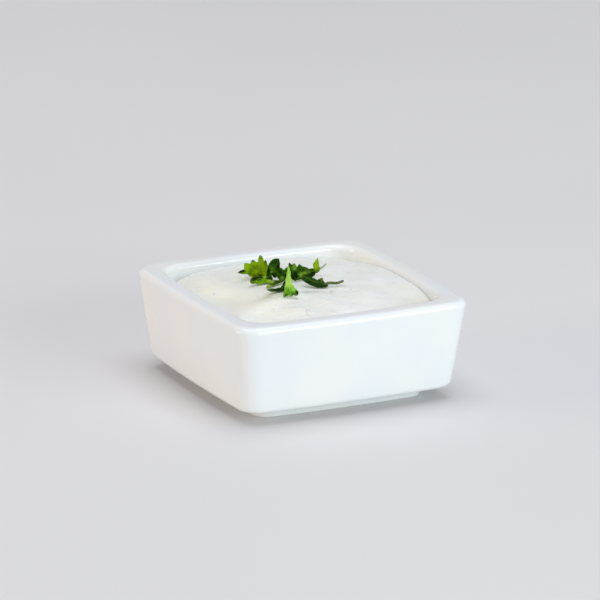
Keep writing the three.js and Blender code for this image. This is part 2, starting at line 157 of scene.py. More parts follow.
class Nodes:
    """Adds nodes to a tree. A value that is a socket is linked, any other is set."""

    def __init__(self, tree):
        self.tree = tree

    def add(self, kind, inputs=None, **settings):
        made = self.tree.nodes.new(kind)
        for key, value in settings.items():
            setattr(made, key, value)
        self.fill(made, inputs or {})
        return made

    def fill(self, node, inputs):
        for key, value in inputs.items():
            if isinstance(value, bpy.types.NodeSocket):
                self.tree.links.new(value, node.inputs[key])
            else:
                node.inputs[key].default_value = value

    def math(self, operation, *values, clamp=False):
        inputs = dict(enumerate(values))
        made = self.add("ShaderNodeMath", inputs, operation=operation, use_clamp=clamp)
        return made.outputs[0]

    def mix(self, factor, first, second, kind="RGBA"):
        part = {"FLOAT": 2, "VECTOR": 4, "RGBA": 6}[kind]
        inputs = {0: factor, part: first, part + 1: second}
        return self.add("ShaderNodeMix", inputs, data_type=kind).outputs[part // 2 - 1]

    def split(self, vector):
        return self.add("ShaderNodeSeparateXYZ", {"Vector": vector}).outputs

    def join(self, **parts):
        return self.add("ShaderNodeCombineXYZ", parts).outputs[0]

    def attribute(self, name):
        return self.add("ShaderNodeAttribute", attribute_name=name).outputs["Fac"]

    def between(self, value, low, high, first=0.0, second=1.0):
        """value carried from low..high to first..second, smoothly and held at both ends."""
        inputs = {"Value": value, "From Min": low, "From Max": high}
        inputs.update({"To Min": first, "To Max": second})
        return self.add("ShaderNodeMapRange", inputs, interpolation_type="SMOOTHSTEP").outputs[0]

    def noise(self, scale, detail, roughness=0.5):
        """Noise in the object's own space, in a material that new_material made."""
        inputs = {"Vector": self.where, "Scale": scale, "Detail": detail, "Roughness": roughness}
        return self.add("ShaderNodeTexNoise", inputs).outputs["Fac"]

    def clouds(self, scale, detail, low=0.35, high=0.65, first=0.0, second=1.0):
        return self.between(self.noise(scale, detail), low, high, first, second)

    def bump(self, height, distance, strength=1.0, under=None):
        inputs = {"Height": height, "Distance": distance, "Strength": strength}
        if under:
            inputs["Normal"] = under
        return self.add("ShaderNodeBump", inputs).outputs[0]


def geometry_tree(name, numbers):
    """A Geometry Nodes group with a Geometry input and output and named number inputs."""
    tree = bpy.data.node_groups.new(name, "GeometryNodeTree")
    face = tree.interface
    face.new_socket("Geometry", in_out="INPUT", socket_type="NodeSocketGeometry")
    sockets = {}
    for label, value in numbers.items():
        kind = "NodeSocketInt" if isinstance(value, int) else "NodeSocketFloat"
        sockets[label] = face.new_socket(label, in_out="INPUT", socket_type=kind)
    face.new_socket("Geometry", in_out="OUTPUT", socket_type="NodeSocketGeometry")
    nodes = Nodes(tree)
    return tree, nodes, nodes.add("NodeGroupInput").outputs, sockets


def finish_tree(nodes, geometry, material):
    real = nodes.add("GeometryNodeRealizeInstances", {"Geometry": geometry}).outputs[0]
    dressed = nodes.add("GeometryNodeSetMaterial", {"Geometry": real, "Material": material})
    nodes.add("NodeGroupOutput", {"Geometry": dressed.outputs[0]})


def grown(name, base, tree, sockets, numbers):
    """Runs a Geometry Nodes group on the mesh base and returns the result as one object."""
    seed = linked(name + "_base", base)
    run = seed.modifiers.new("Grow", "NODES")
    run.node_group = tree
    for label, value in numbers.items():
        run[sockets[label].identifier] = value
    depsgraph = bpy.context.evaluated_depsgraph_get()
    mesh = bpy.data.meshes.new_from_object(seed.evaluated_get(depsgraph))
    mesh.name = name
    seed.modifiers.remove(run)
    bpy.data.objects.remove(seed)
    return placed(name, mesh)


def linked(name, data):
    made = bpy.data.objects.new(name, data)
    bpy.context.scene.collection.objects.link(made)
    return made


def placed(name, mesh, material=None):
    if material:
        mesh.materials.clear()
        mesh.materials.append(material)
    mesh.shade_smooth()
    return linked(name, mesh)


def loft_tree(material, numbers):
    """Carries a profile round a square with bowed sides and round corners. Each point of
    the profile gives its inset in X, its height in Z and its corner radius."""
    tree, nodes, out, sockets = geometry_tree("Square loft", numbers)
    calc = nodes.math
    quarter_steps = calc("ADD", out["Side steps"], out["Corner steps"])
    columns = calc("ADD", calc("MULTIPLY", quarter_steps, 4), 1)
    size = nodes.add("GeometryNodeAttributeDomainSize", {"Geometry": out["Geometry"]})
    inputs = {"Vertices X": size.outputs["Point Count"], "Vertices Y": columns}
    grid = nodes.add("GeometryNodeMeshGrid", inputs).outputs["Mesh"]
    index = nodes.add("GeometryNodeInputIndex").outputs[0]
    row = calc("FLOOR", calc("DIVIDE", calc("ADD", index, 0.5), columns))
    column = calc("SUBTRACT", index, calc("MULTIPLY", row, columns))

    def of_profile(value, kind):
        inputs = {"Geometry": out["Geometry"], "Value": value, "Index": row}
        return nodes.add("GeometryNodeSampleIndex", inputs, data_type=kind).outputs["Value"]

    place = of_profile(nodes.add("GeometryNodeInputPosition").outputs[0], "FLOAT_VECTOR")
    radius_name = nodes.add("GeometryNodeInputNamedAttribute", {"Name": "corner"})
    corner = of_profile(radius_name.outputs["Attribute"], "FLOAT")
    point = nodes.split(place)

    half = calc("SUBTRACT", out["Half side"], point["X"])
    bow = calc("MULTIPLY", out["Side bow"], calc("DIVIDE", half, out["Half side"]))
    centre = calc("SUBTRACT", calc("SUBTRACT", half, bow), corner)
    quarter = calc("FLOOR", calc("DIVIDE", calc("ADD", column, 0.5), quarter_steps))
    step = calc("SUBTRACT", column, calc("MULTIPLY", quarter, quarter_steps))
    on_side = calc("DIVIDE", step, out["Side steps"], clamp=True)
    along = calc("SUBTRACT", calc("MULTIPLY", on_side, 2), 1)
    past_side = calc("MAXIMUM", calc("SUBTRACT", step, out["Side steps"]), 0)
    turned = calc("MULTIPLY", calc("DIVIDE", past_side, out["Corner steps"]), math.pi / 2)
    swell = calc("MULTIPLY", bow, calc("SUBTRACT", 1, calc("MULTIPLY", along, along)))
    arm = calc("MULTIPLY", corner, calc("COSINE", turned))
    x = calc("ADD", calc("ADD", centre, arm), swell)
    rise = calc("MULTIPLY", corner, calc("SINE", turned))
    y = calc("ADD", calc("MULTIPLY", centre, along), rise)
    inputs = {
        "Vector": nodes.join(X=x, Y=y, Z=point["Z"]),
        "Angle": calc("MULTIPLY", quarter, math.pi / 2),
    }
    spot = nodes.add("ShaderNodeVectorRotate", inputs, rotation_type="Z_AXIS").outputs[0]
    inputs = {"Geometry": grid, "Position": spot}
    shaped = nodes.add("GeometryNodeSetPosition", inputs).outputs[0]
    closed = nodes.add("GeometryNodeMergeByDistance", {"Geometry": shaped, "Distance": WELD_GAP})
    finish_tree(nodes, closed.outputs[0], material)
    return tree, sockets


def srgb(red, green, blue):
    """A linear colour from screen values of 0 to 255."""
    parts = [part / 255 for part in (red, green, blue)]
    linear = [c / 12.92 if c <= 0.04045 else ((c + 0.055) / 1.055) ** 2.4 for c in parts]
    return (*linear, 1.0)


def new_material(name):
    material = bpy.data.materials.new(name)
    material.use_nodes = True
    nodes = Nodes(material.node_tree)
    nodes.where = nodes.add("ShaderNodeTexCoord").outputs["Object"]
    return material, nodes, material.node_tree.nodes["Principled BSDF"]


def porcelain():
    """White body under a clear glaze that pools a little cooler and flows a little
    uneven, with the bare, matt biscuit on the foot's underside."""
    material, nodes, shader = new_material("glazed_porcelain")
    height = nodes.split(nodes.where)["Z"]
    glaze = nodes.mix(nodes.clouds(45, 3), srgb(*GLAZE_THIN), srgb(*GLAZE_THICK))
    pooled = nodes.between(height, FOOT_HEIGHT, FOOT_HEIGHT + POOL_REACH, 0.15, 0.0)
    glaze = nodes.mix(pooled, glaze, srgb(*GLAZE_POOLED))
    bare = nodes.between(height, *BARE_TOP, 1.0, 0.0)
    biscuit = nodes.mix(nodes.clouds(4000, 4), *[srgb(*tone) for tone in BISCUIT_TONES])
    waves = nodes.bump(nodes.noise(110, 1), 0.06 * MM)
    glaze_peel_and_painted_shadow = nodes.bump(nodes.noise(900, 1), 0.004 * MM, under=waves)
    pores = nodes.bump(nodes.noise(5000, 2), 0.02 * MM, 0.6, under=waves)
    look = {
        "Base Color": nodes.mix(bare, glaze, biscuit),
        "Roughness": nodes.mix(bare, nodes.clouds(160, 3, 0.3, 0.7, 0.07, 0.13), 0.75, "FLOAT"),
        "Normal": nodes.mix(bare, glaze_peel_and_painted_shadow, pores, "VECTOR"),
        "IOR": 1.52,
        "Subsurface Weight": 0.08,
        "Subsurface Radius": (1.0, 0.9, 0.8),
        "Subsurface Scale": 1.2 * MM,
    }
    nodes.fill(shader, look)
    return material


def profile_mesh(points):
    mesh = bpy.data.meshes.new("bowl_profile")
    edges = [(i, i + 1) for i in range(len(points) - 1)]
    mesh.from_pydata([(inset, 0, height) for inset, height, _ in points], edges, [])
    corners = mesh.attributes.new("corner", "FLOAT", "POINT")
    corners.data.foreach_set("value", [corner for _, _, corner in points])
    return mesh


loft_numbers = {
    "Half side": BOWL_HALF,
    "Side bow": SIDE_BOW,
    "Side steps": BOWL_STEPS["side"],
    "Corner steps": BOWL_STEPS["corner"],
}
loft, loft_sockets = loft_tree(porcelain(), loft_numbers)
bowl = grown("porcelain_bowl", profile_mesh(bowl_profile()), loft, loft_sockets, loft_numbers)
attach(bowl, BODY)
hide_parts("bowl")


# ----------------------------------------
# The dip: strained yoghurt with grated cucumber, spooned in until it stands a little above
# the rim and left with the marks of the spoon. It is moist and slightly translucent, and
# in its hollows a little whey and oil has gathered.
dip_low, dip_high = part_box("dip")
CROWN = 0.9
DOME_FALL = 2.2
TILT_X, TILT_Y = 0.1, -0.7
DOME_REACH = 34
# Ridges and furrows of the spoon in mm: from, to, height, width.
SPOON_STROKES = [
    ((-13, -12), (-34, -24.5), 1.0, 4),
    ((-7.5, -19), (-8, -30), -0.5, 3.4),
    ((-3, -17), (0, -33), 0.5, 3.8),
    ((-18, 18), (-16, 4), -0.6, 3),
    ((-24, 26), (-27, 5), 0.4, 3),
    ((9, -24), (24, -4), 0.35, 4),
    ((14, 8), (27, 18), 0.35, 4),
]
# Round hollows and lumps in mm: place, height, radius.
SPOON_HOLLOWS = [
    ((-25, -4), -1.4, 8),
    ((-12.5, -26), 0.6, 5),
    ((32, -30), -2.0, 10),
    ((33, 25), -1.3, 9),
    ((-32, 31), -1.4, 8),
    ((2, 37), -0.6, 14),
    ((18, -14), -0.4, 6),
]
DIP_STEPS = {"side": 46, "corner": 18}
DIP_RINGS = 120
WALL_OVERLAP = 0.04  # mm that the dip reaches into the glaze, so that no slit shows
RELIEF = [(0.16, 7, 3.3), (0.05, 2.2, 8.1)]  # height and size in mm, seed
RELIEF_OCTAVES = 2
# Relief of the cucumber shreds in mm: where they lie, half length, height, half width.
SHRED_BUMPS, SHRED_SEED = 150, 31
SHRED_AREA = (-33, 33)
SHRED_REACH = (0.8, 2.4)
SHRED_RISE = (0.05, 0.16)
SHRED_WIDTH = (0.35, 0.6)
# Patches in mm (place, radius, strength): a little oil and whey that also paints warm light on the
# dip's left, painted warm light, and grey-green painted shadow and smudges beside the garnish.
# A yellow whey and oil tint, partly painted warm light on the dip's left; the last patch is a
# yellowish smudge beside the front leaf.
WHEY_AND_WARM_LIGHT_PATCHES = [
    ((-26, 3), 7, 0.4),
    ((-25, -9), 7, 0.3),
    ((-15, -12), 6, 0.35),
    ((-16.4, -13), 3.2, 0.95),
]
# Painted warm light on the dip's left, and painted light that lifts the shade on its front-left.
PAINTED_LIGHT_PATCHES = [
    ((-28, 16), 9, 0.9),
    ((-26, 2), 8, 0.5),
    ((-25, -14), 8, 0.9),
    ((-20, -26), 6, 0.6),
]
# Grey-green marks: painted shadow in front of the long leaf's lower edge, a darker spot in front
# of its stalk and a smudge beside the front leaf.
SHADOW_AND_SMUDGE_PATCHES = [
    ((-16.4, -13), 2.8, 0.45),
    ((-5.3, -11.9), 1.2, 0.4),
    ((-4.3, -12.9), 1.2, 0.6),
    ((-3, -13.5), 1.1, 0.6),
    ((-1.5, -13.8), 1.1, 0.5),
    ((3.3, -14.6), 0.8, 0.6),
    ((2.5, -16.1), 0.8, 0.7),
]
POOL_DEPTH = 2.8  # mm of a hollow at which it would be full of whey
# Where the surface meets the wall, in mm: how far it rounds down and over what width, how
# far under the rim it stays, and how far under it the search for its level starts.
EDGE_FALL, EDGE_REACH = 0.75, 0.8
EDGE_LEAST, EDGE_START = 0.5, 2
EDGE_ROUNDS = 3
WALL_SHARES = (0.45, 0.8, 0.95)  # of the way up the wall that have a ring
RING_CROWDING = 1.2
TOP_MARGIN = 0.02  # mm that the dip stays under its node's top
# Where the dip has drawn away from the wall, in mm: place, radius, depth.
EDGE_GAPS = [((-29, 31), 2.4, 1.8), ((-25.5, 32.2), 2, 1.3)]
YOGHURT_TONES = (245, 246, 241), (241, 242, 235)
# The near-white warm colour here is painted warm light; the grey-green one on the next line paints
# shadow and smudges.
PAINTED_WARM_LIGHT, WHEY, SHRED_GREEN = (254, 248, 233), (240, 238, 212), (234, 238, 224)
SHADOW_AND_SMUDGE_GREEN, FLECK_GREEN = (180, 190, 176), (196, 206, 160)


def outline(steps, half, corner, bow=SIDE_BOW):
    """Points of a square with bowed sides and round corners, as an array of x and y."""
    bow = bow * half / BOWL_HALF
    centre = half - bow - corner
    side = np.linspace(-1, 1, steps["side"], endpoint=False)
    turn = np.linspace(0, np.pi / 2, steps["corner"], endpoint=False)
    x = np.concatenate([centre + corner + bow * (1 - side**2), centre + corner * np.cos(turn)])
    y = np.concatenate([centre * side, centre + corner * np.sin(turn)])
    points = []
    for quarter in range(4):
        cos, sin = [(1, 0), (0, 1), (-1, 0), (0, -1)][quarter]
        points.append(np.stack([cos * x - sin * y, sin * x + cos * y], 1))
    return np.concatenate(points)


def segment_share(points, start, end):
    """How far along the segment each point's nearest place is, and its distance."""
    start, along = np.array(start), np.array(end) - np.array(start)
    share = np.clip((points - start) @ along / (along @ along), 0, 1)
    return share, np.linalg.norm(points - start - share[:, None] * along, axis=1)


def spoon_marks(points):
    """Height of the spoon's marks over the plain dome, in mm."""
    total = np.zeros(len(points))
    for start, end, height, width in SPOON_STROKES:
        total += height * np.exp(-((segment_share(points, start, end)[1] / width) ** 2))
    for at, height, radius in SPOON_HOLLOWS:
        total += height * np.exp(-((np.linalg.norm(points - at, axis=1) / radius) ** 2))
    return total


def noise_field(points, scale, seed):
    """Smooth noise of about -1 to 1 with features of scale mm."""
    places = [(x / scale, y / scale, seed) for x, y in points]
    return np.array([noise.fractal(place, 1.0, 2.0, RELIEF_OCTAVES) for place in places])


def shred_bumps(points):
    """The low relief of grated cucumber just under the surface, in mm."""
    draw = random.Random(SHRED_SEED)
    total = np.zeros(len(points))
    for _ in range(SHRED_BUMPS):
        x, y = draw.uniform(*SHRED_AREA), draw.uniform(*SHRED_AREA)
        angle, reach = draw.uniform(0, math.pi), draw.uniform(*SHRED_REACH)
        tip = (reach * math.cos(angle), reach * math.sin(angle))
        away = segment_share(points, (x - tip[0], y - tip[1]), (x + tip[0], y + tip[1]))[1]
        rise = draw.uniform(*SHRED_RISE)
        total += rise * np.exp(-((away / draw.uniform(*SHRED_WIDTH)) ** 2))
    return total


def dome(points):
    x, y = points[:, 0], points[:, 1]
    plain = CROWN - DOME_FALL * (x * x + y * y) / DOME_REACH**2
    return BOWL_HEIGHT / MM + plain + (TILT_X * x + TILT_Y * y) / DOME_REACH


def dip_height(points):
    """Height of the dip's surface at points of x and y, all in mm."""
    relief = sum(rise * noise_field(points, size, seed) for rise, size, seed in RELIEF)
    return dome(points) + spoon_marks(points) + relief + shred_bumps(points)


def wall_ring(heights):
    """The ring of points on the hollow's wall at a height for each, in mm."""
    ring = np.zeros((len(heights), 3))
    for i, height in enumerate(heights):
        inset = cavity_inset(height * MM) - WALL_OVERLAP * MM
        at = outline(DIP_STEPS, BOWL_HALF - inset, cavity_corner(inset))[i]
        ring[i] = (*(at / MM), height)
    return ring


def dip_rings():
    """Rings from the floor of the hollow up its wall and over the surface to the middle."""
    rings = []
    for inset, height in cavity_profile():
        flat = outline(DIP_STEPS, BOWL_HALF - inset + WALL_OVERLAP * MM, cavity_corner(inset)) / MM
        rings.append(np.column_stack([flat, np.full(len(flat), height / MM)]))
    count = len(rings[0])
    edge = wall_ring(np.full(count, BOWL_HEIGHT / MM - EDGE_START))
    for _ in range(EDGE_ROUNDS):
        top = dome(edge[:, :2]) + spoon_marks(edge[:, :2])
        top = np.minimum(top, BOWL_HEIGHT / MM - EDGE_LEAST)
        fall = EDGE_FALL + patches(edge[:, :2], EDGE_GAPS)
        edge = wall_ring(top - fall)
    low = rings[-1][:, 2]
    for share in WALL_SHARES:
        rings.append(wall_ring(low + (edge[:, 2] - low) * share))
    rings.append(edge)
    reach = np.linalg.norm(edge[:, :2], axis=1)
    highest = dip_high.z / MM - TOP_MARGIN
    for step in range(1, DIP_RINGS):
        share = 1 - (step / DIP_RINGS) ** RING_CROWDING
        flat = edge[:, :2] * share
        in_from_wall = reach * (1 - share)
        settled = dip_height(flat) - fall * np.exp(-in_from_wall / EDGE_REACH)
        rings.append(np.column_stack([flat, np.minimum(settled, highest)]))
    return rings


def tube_faces(count, rings):
    """Faces over rings of count points each, closed at each end by a fan to one of the two
    points that come after the rings."""
    first = rings * count
    last_ring = first - count
    pairs = [(i, (i + 1) % count) for i in range(count)]
    faces = []
    for low in range(0, last_ring, count):
        high = low + count
        faces += [(low + i, low + j, high + j, high + i) for i, j in pairs]
    faces += [(first, j, i) for i, j in pairs]
    return faces + [(first + 1, last_ring + i, last_ring + j) for i, j in pairs]


def yoghurt():
    """Dense strained yoghurt: off-white, faintly grainy and moist, yellower where whey and
    oil lie (partly painted warm light), warmer with painted warm light, grey-green with painted
    shadow and smudges, and a touch greener over the cucumber."""
    material, nodes, shader = new_material("tzatziki")
    pooled = nodes.attribute("pooled")
    colour = nodes.mix(nodes.clouds(130, 3, high=0.68), *[srgb(*tone) for tone in YOGHURT_TONES])
    # Tints: painted warm light; whey and oil, partly painted warm light; cucumber; grey-green
    # painted shadow and smudges; random flecks.
    tints = [
        (nodes.attribute("painted_light"), 1.0, PAINTED_WARM_LIGHT),
        (pooled, 0.8, WHEY),
        (nodes.attribute("shreds"), 0.3, SHRED_GREEN),
        (nodes.attribute("glaze_peel_and_painted_shadow"), nodes.clouds(500, 2, 0.35, 0.6, 0.55, 1.0), SHADOW_AND_SMUDGE_GREEN),
        (nodes.clouds(1500, 2, 0.72, 0.8), 0.25, FLECK_GREEN),
    ]
    for share, strength, tint in tints:
        colour = nodes.mix(nodes.math("MULTIPLY", share, strength), colour, srgb(*tint))
    soft = nodes.bump(nodes.noise(700, 3, 0.6), 0.10 * MM, 0.8)
    look = {
        "Base Color": colour,
        "Roughness": nodes.mix(pooled, nodes.clouds(420, 3, 0.3, 0.7, 0.34, 0.52), 0.22, "FLOAT"),
        "Normal": nodes.bump(nodes.noise(2600, 3, 0.6), 0.035 * MM, 0.7, under=soft),
        "IOR": 1.38,
        "Subsurface Weight": 0.35,
        "Subsurface Radius": (1.0, 0.85, 0.6),
        "Subsurface Scale": 1.6 * MM,
    }
    nodes.fill(shader, look)
    return material


def patches(points, spots):
    """Strength at each point of soft round spots, each (place, radius, strength)."""
    return sum(f * np.exp(-np.sum((points - at) ** 2, 1) / r**2) for at, r, f in spots)


def surface_values(mesh, name, values):
    layer = mesh.attributes.new(name, "FLOAT", "POINT")
    layer.data.foreach_set("value", values.astype(np.float32))


def dip_piece():
    floor_middle = (0, 0, CAVITY_FLOOR / MM)
    middle = (0, 0, float(dip_height(np.zeros((1, 2)))[0]))
    rings = dip_rings()
    points = np.concatenate([*rings, [floor_middle], [middle]]) * MM
    mesh = bpy.data.meshes.new("tzatziki")
    mesh.from_pydata(points.tolist(), [], tube_faces(len(rings[0]), len(rings)))
    places = np.array([v.co[:2] for v in mesh.vertices]) / MM
    # The first layer is a whey tint that partly paints warm light, the second painted warm light
    # and the third grey-green painted shadow and smudges.
    layers = {
        "pooled": np.maximum(-spoon_marks(places) / POOL_DEPTH, patches(places, WHEY_AND_WARM_LIGHT_PATCHES)),
        "painted_light": patches(places, PAINTED_LIGHT_PATCHES),
        "glaze_peel_and_painted_shadow": patches(places, SHADOW_AND_SMUDGE_PATCHES),
        "shreds": shred_bumps(places) / SHRED_RISE[1],
    }
    for name, values in layers.items():
        surface_values(mesh, name, np.clip(values, 0, 1))
    return placed("tzatziki_dip", mesh, yoghurt())


dip = dip_piece()
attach(dip, BODY)
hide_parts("dip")


# ----------------------------------------
# The bits in the dip: shreds of grated cucumber, mostly sunk in the yoghurt, and specks of
# chopped herb on its surface. They are stirred in before the dip is spooned out.
LEVEL_LEAST = 0.8  # how far upwards a face has to look to take a grain
GRAIN_SIZES = (0.55, 1.3)
GRAIN_BALL = {"Segments": 8, "Rings": 5, "Radius": 0.5}


def scatter_tree(name, material, numbers):
    """Scatters flat, slightly bent grains over the level parts of a surface."""
    tree, nodes, out, sockets = geometry_tree(name, numbers)
    calc = nodes.math

    def random_number(low, high):
        inputs = {2: low, 3: high, "Seed": out["Seed"]}
        return nodes.add("FunctionNodeRandomValue", inputs, data_type="FLOAT").outputs[1]

    upward = nodes.split(nodes.add("GeometryNodeInputNormal").outputs[0])["Z"]
    around = nodes.split(nodes.add("GeometryNodeInputPosition").outputs[0])
    reach = calc("MAXIMUM", calc("ABSOLUTE", around["X"]), calc("ABSOLUTE", around["Y"]))
    level = calc("GREATER_THAN", upward, LEVEL_LEAST)
    inside = calc("LESS_THAN", reach, out["Reach"])
    inputs = {
        "Mesh": out["Geometry"],
        "Selection": calc("MULTIPLY", level, inside),
        "Density": out["Density"],
        "Seed": out["Seed"],
    }
    spread = nodes.add("GeometryNodeDistributePointsOnFaces", inputs).outputs

    ball = nodes.add("GeometryNodeMeshUVSphere", GRAIN_BALL).outputs["Mesh"]
    part = nodes.split(nodes.add("GeometryNodeInputPosition").outputs[0])
    bend = calc("MULTIPLY", calc("MULTIPLY", part["X"], part["X"]), out["Bend"])
    x = calc("MULTIPLY", part["X"], out["Length"])
    y = calc("MULTIPLY", calc("ADD", part["Y"], bend), out["Width"])
    z = calc("SUBTRACT", calc("MULTIPLY", part["Z"], out["Thickness"]), out["Sink"])
    inputs = {"Geometry": ball, "Position": nodes.join(X=x, Y=y, Z=z)}
    grain = nodes.add("GeometryNodeSetPosition", inputs).outputs[0]

    inputs = {
        "Points": spread["Points"],
        "Instance": grain,
        "Rotation": spread["Rotation"],
        "Scale": random_number(*GRAIN_SIZES),
    }
    dropped = nodes.add("GeometryNodeInstanceOnPoints", inputs).outputs[0]
    inputs = {"Instances": dropped, "Rotation": nodes.join(Z=random_number(0, math.tau))}
    turned = nodes.add("GeometryNodeRotateInstances", inputs).outputs[0]
    finish_tree(nodes, turned, material)
    return tree, sockets


def mottled(name, tones, scale, roughness, subsurface):
    """A moist plant or vegetable surface that varies between two tones."""
    material, nodes, shader = new_material(name)
    damp = nodes.clouds(scale * 2, 2, 0.3, 0.7)
    look = {
        "Base Color": nodes.mix(nodes.clouds(scale, 3), *[srgb(*tone) for tone in tones]),
        "Roughness": nodes.mix(damp, roughness, roughness * 1.5, "FLOAT"),
        "Normal": nodes.bump(nodes.noise(scale * 3, 3), 0.05 * MM),
        "Subsurface Weight": subsurface,
        "Subsurface Radius": (0.8, 1.0, 0.5),
        "Subsurface Scale": 0.8 * MM,
    }
    nodes.fill(shader, look)
    return material


def scattered(name, material, numbers):
    tree, sockets = scatter_tree(name + "_scatter", material, numbers)
    made = grown(name, dip.data, tree, sockets, numbers)
    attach(made, BODY)
    return made


scattered(
    "cucumber_shreds",
    mottled("cucumber", ((238, 240, 232), (230, 235, 220)), 900, 0.28, 0.5),
    {
        "Density": 7000.0, "Seed": 5, "Reach": 31 * MM, "Length": 3.6 * MM,
        "Width": 0.8 * MM, "Thickness": 0.5 * MM, "Bend": 1.4, "Sink": 0.2 * MM,
    },
)
scattered(
    "herb_specks",
    mottled("chopped_herb", ((168, 180, 144), (130, 146, 106)), 2500, 0.5, 0.3),
    {
        "Density": 2200.0, "Seed": 11, "Reach": 30 * MM, "Length": 0.6 * MM,
        "Width": 0.28 * MM, "Thickness": 0.12 * MM, "Bend": 0.4, "Sink": 0.0,
    },
)


# ----------------------------------------
# The parsley: torn leaflets of flat-leaf parsley dropped on the dip. A leaflet is thin,
# lobed and toothed, with a vein down each lobe. Its upper face is deep green with a soft
# gloss, its underside paler and matt, and some keep a bit of their ribbed stalk.
TUFT_TURN = -26.8  # the tuft lies along a line turned this far from +X
LEAF_THICK = 0.24
RIM_THINNING = 0.65  # share of its thickness that a leaf loses towards its rim
STEM_RADIUS, STEM_TAPER = 0.42, 0.95
THREAD_RADIUS, THREAD_TAPER = 0.4, 0.3
STALK_SIDES, STALK_STEPS = 12, 8  # round it, and from knot to knot
STALK_RIBS, RIB_HEIGHT = 4, 0.10
STALK_END, END_SLOPE = 0.45, 6  # size of its ends, and growth to full size per length
FOLD_ROUND = 0.4  # how softly a folded leaf turns at its fold
BLADE_RINGS, BLADE_CROWDING = 14, 0.9
EDGE_STEPS = 6
EDGE_SWELL = 0.035
TEETH = 2.5  # on each line of a leaf's outline
WAVES_ACROSS, WAVES_ALONG, WAVE_START = 1.5, 1.1, 0.6
RUFFLE_SCALE, RUFFLE = 0.9, 0.35
QUILT, QUILT_REACH = 0.07, 0.35  # how the blade swells between its veins, in mm
SEED_STEP = 7.3  # between the ruffles of one leaf and the next
VEIN_SCALE = 10  # mm that one unit of a leaf's UV map stands for
SIDE_VEIN_SLANT, SIDE_VEIN_GAP = 1.2, 0.95


def leaf_edge(corners, tooth):
    """The outline drawn through the corners in slightly swelling lines with small teeth."""
    points = []
    for start, end in zip(corners, [*corners[1:], corners[0]]):
        start, along = np.array(start, float), np.subtract(end, start)
        outward = np.array((along[1], -along[0]))
        for step in range(EDGE_STEPS):
            share = step / EDGE_STEPS
            swell = EDGE_SWELL * math.sin(math.pi * share)
            teeth = tooth * math.sin(math.pi * share) * (1 - (TEETH * share) % 1)
            points.append(start + along * share + outward * (swell + teeth))
    return np.array(points)


def leaf_tips(corners):
    """Directions of the corners that stand out further than both of their neighbours."""
    reach = [math.hypot(*corner) for corner in corners]
    count = len(corners)
    standing = [i for i in range(count) if reach[i] > max(reach[i - 1], reach[(i + 1) % count])]
    return [math.atan2(corners[i][1], corners[i][0]) for i in standing]


def vein_place(flat, tips):
    """For each point, how far along the nearest vein it lies and how far beside it."""
    angle = np.arctan2(flat[:, 1], flat[:, 0])
    radius = np.linalg.norm(flat, axis=1)
    turns = [np.abs((angle - tip + np.pi) % (2 * np.pi) - np.pi) for tip in tips]
    away = np.minimum(np.min(turns, axis=0), np.pi / 2)
    return np.column_stack([radius * np.cos(away), radius * np.sin(away)])


def rolled(along, up, curvature):
    """Rolls a sheet round a cylinder of that curvature. The sheet keeps its length."""
    if abs(curvature) < 1e-6:
        return along, up
    radius = 1 / curvature - up
    return radius * np.sin(along * curvature), 1 / curvature - radius * np.cos(along * curvature)


def attitude(heading, pitch):
    """Turns a leaf so that its length points along heading, in degrees from the tuft's
    line, and climbs by pitch."""
    level = Quaternion((0, 0, 1), math.radians(heading - 90))
    return level @ Quaternion((1, 0, 0), math.radians(pitch))


def blade(leaf, seed):
    """One leaf as a part of tuft_mesh, in mm in its own frame. Its rings go from the middle
    of the underside out to the rim and back over the face to its middle."""
    edge = leaf_edge(leaf["corners"], leaf.get("tooth", 0.07))
    shares = [(k / BLADE_RINGS) ** BLADE_CROWDING for k in range(1, BLADE_RINGS + 1)]
    shares += shares[::-1]
    flat = np.concatenate([*[edge * share for share in shares], np.zeros((2, 2))])
    share_of = np.concatenate([np.repeat(shares, len(edge)), [0.0, 0.0]])
    side = np.concatenate([np.repeat([-1, 1], BLADE_RINGS * len(edge)), [-1, 1]])
    veins = vein_place(flat, leaf_tips(leaf["corners"]))
    x, y = flat.T
    wave = leaf.get("wave", 0.2)
    ripple = wave * np.sin(WAVES_ACROSS * x + WAVE_START) * np.cos(WAVES_ALONG * y)
    ripple += leaf.get("fold", 0) * (np.hypot(x, FOLD_ROUND) - FOLD_ROUND)
    ruffle = [noise.noise((px * RUFFLE_SCALE, py * RUFFLE_SCALE, seed)) for px, py in flat]
    ripple += RUFFLE * wave * np.array(ruffle) * share_of**2
    quilt = QUILT * (1 - np.exp(-((veins[:, 1] / QUILT_REACH) ** 2))) * (1 - share_of**4)
    up = side * LEAF_THICK / 2 * (1 - RIM_THINNING * share_of**6)
    across, height = rolled(x, ripple + quilt + up, leaf.get("curl_across", 0))
    along, height = rolled(y, height, leaf.get("curl_along", 0))
    faces = tube_faces(len(edge), len(shares))
    upper = slice((BLADE_RINGS - 1) * len(edge), (2 * BLADE_RINGS - 1) * len(edge))
    faces[upper] = [(*face[1:], face[0]) for face in faces[upper]]  # split as the underside's
    return {
        "points": np.column_stack([across, along, height]),
        "faces": faces,
        "veins": veins,
        "underside": (side < 0).astype(float),
        # tone: painted shade and highlight from the spots.
        "tone": patches(flat, [((a, b), radius, tone) for a, b, radius, tone in leaf["spots"]]),
    }


